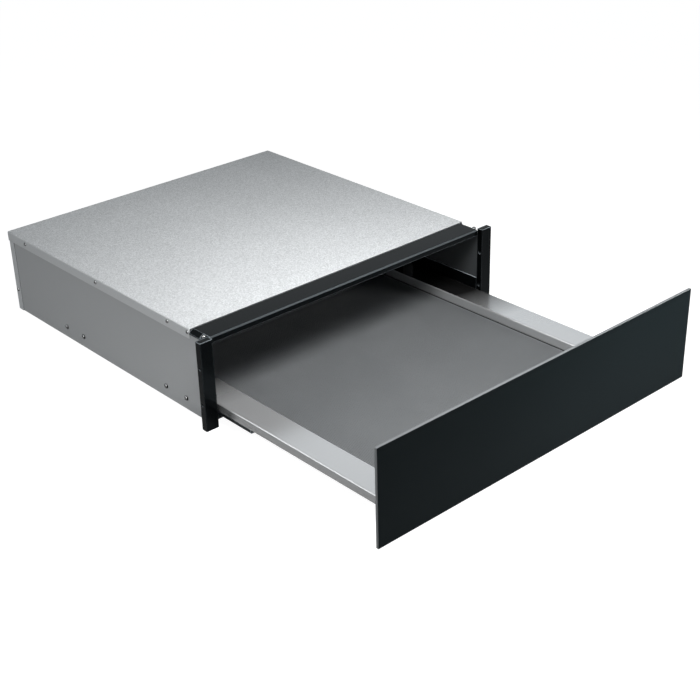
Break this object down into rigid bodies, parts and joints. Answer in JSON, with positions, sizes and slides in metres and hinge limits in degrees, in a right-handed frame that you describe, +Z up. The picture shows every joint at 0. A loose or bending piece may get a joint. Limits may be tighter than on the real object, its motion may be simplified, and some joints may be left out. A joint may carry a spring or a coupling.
{
  "type": "built-in storage drawer",
  "caption": "Shallow built-in kitchen storage drawer: folded steel housing with a black front frame, a steel tray with a mat on ball-bearing runners, and a plain black glass front.",
  "frame": {"origin": "middle of the underside of the bottom rail of the front frame", "axes": "+X to the right seen from the front, +Y to the back, +Z up"},
  "size_m": [0.595, 0.8845, 0.14],
  "materials": {
    "galvanised_sheet": "hot-dip galvanised sheet, satin, with a fine spangle",
    "black_frame": "black powder coat, satin",
    "zinc_runner": "zinc plated strip, satin",
    "bright_fixing": "bright zinc plated",
    "bearing_steel": "polished steel",
    "cage_steel": "pressed steel strip",
    "black_plastic": "moulded, fine texture",
    "stainless_tray": "stainless sheet, fine brushed",
    "mat": "ribbed anti-slip mat, matt",
    "front_glass": "back-painted black glass, satin, with a ground edge"
  },
  "bodies": {
    "housing": {"base_panel": "galvanised_sheet", "side_panel_left": "galvanised_sheet", "side_panel_right": "galvanised_sheet", "rear_panel": "galvanised_sheet", "top_cover": "galvanised_sheet", "frame_top_bar": "black_frame", "frame_post_left": "black_frame", "frame_post_right": "black_frame", "frame_bottom_rail": "black_frame", "runner_bracket_left": "black_frame", "runner_bracket_right": "black_frame", "runner_rail_left": "zinc_runner", "runner_rail_right": "zinc_runner", "runner_rivets_left": "bright_fixing", "runner_rivets_right": "bright_fixing", "cover_screws": "bright_fixing", "rear_screws": "bright_fixing", "frame_screws": "bright_fixing", "latch_body": "black_plastic", "latch_screws": "bright_fixing", "latch_spring": "bearing_steel"},
    "drawer": {"runner_slide_left": "zinc_runner", "runner_slide_right": "zinc_runner", "drawer_floor": "stainless_tray", "drawer_side_left": "stainless_tray", "drawer_side_right": "stainless_tray", "drawer_rear_panel": "stainless_tray", "drawer_mat": "mat", "drawer_stop_left": "black_plastic", "drawer_stop_right": "black_plastic", "front_carrier": "zinc_runner", "front_screws": "bright_fixing", "front_glass": "front_glass", "strike_plate": "zinc_runner"},
    "latch_plunger": {"latch_plunger": "bright_fixing"},
    "runner_mid_left": {"runner_mid_left": "zinc_runner"},
    "outer_cage_body_left": {"outer_cage_left": "cage_steel", "outer_balls_left": "bearing_steel"},
    "inner_cage_body_left": {"inner_cage_left": "cage_steel", "inner_balls_left": "bearing_steel"},
    "runner_mid_right": {"runner_mid_right": "zinc_runner"},
    "outer_cage_body_right": {"outer_cage_right": "cage_steel", "outer_balls_right": "bearing_steel"},
    "inner_cage_body_right": {"inner_cage_right": "cage_steel", "inner_balls_right": "bearing_steel"}
  },
  "joints": [
    {"name": "drawer_slide", "type": "slide", "parent": "housing", "child": "drawer", "axis": [0, -1, 0], "range_m": [-0.348, 0.09]},
    {"name": "latch_press", "type": "slide", "parent": "housing", "child": "latch_plunger", "axis": [0, 1, 0], "range_m": [0, 0.003], "stiffness_N_per_m": 400, "deforming": ["latch_spring"]},
    {"name": "runner_mid_left_slide", "type": "slide", "parent": "housing", "child": "runner_mid_left", "axis": [0, -1, 0], "range_m": [-0.174, 0.045]},
    {"name": "outer_cage_left_slide", "type": "slide", "parent": "housing", "child": "outer_cage_body_left", "axis": [0, -1, 0], "range_m": [-0.087, 0.0225]},
    {"name": "inner_cage_left_slide", "type": "slide", "parent": "housing", "child": "inner_cage_body_left", "axis": [0, -1, 0], "range_m": [-0.261, 0.0675]},
    {"name": "runner_mid_right_slide", "type": "slide", "parent": "housing", "child": "runner_mid_right", "axis": [0, -1, 0], "range_m": [-0.174, 0.045]},
    {"name": "outer_cage_right_slide", "type": "slide", "parent": "housing", "child": "outer_cage_body_right", "axis": [0, -1, 0], "range_m": [-0.087, 0.0225]},
    {"name": "inner_cage_right_slide", "type": "slide", "parent": "housing", "child": "inner_cage_body_right", "axis": [0, -1, 0], "range_m": [-0.261, 0.0675]}
  ],
  "couplings": [
    {"joint": "runner_mid_left_slide", "follows": "drawer_slide", "ratio": 0.5},
    {"joint": "outer_cage_left_slide", "follows": "drawer_slide", "ratio": 0.25},
    {"joint": "inner_cage_left_slide", "follows": "drawer_slide", "ratio": 0.75},
    {"joint": "runner_mid_right_slide", "follows": "drawer_slide", "ratio": 0.5},
    {"joint": "outer_cage_right_slide", "follows": "drawer_slide", "ratio": 0.25},
    {"joint": "inner_cage_right_slide", "follows": "drawer_slide", "ratio": 0.75}
  ]
}
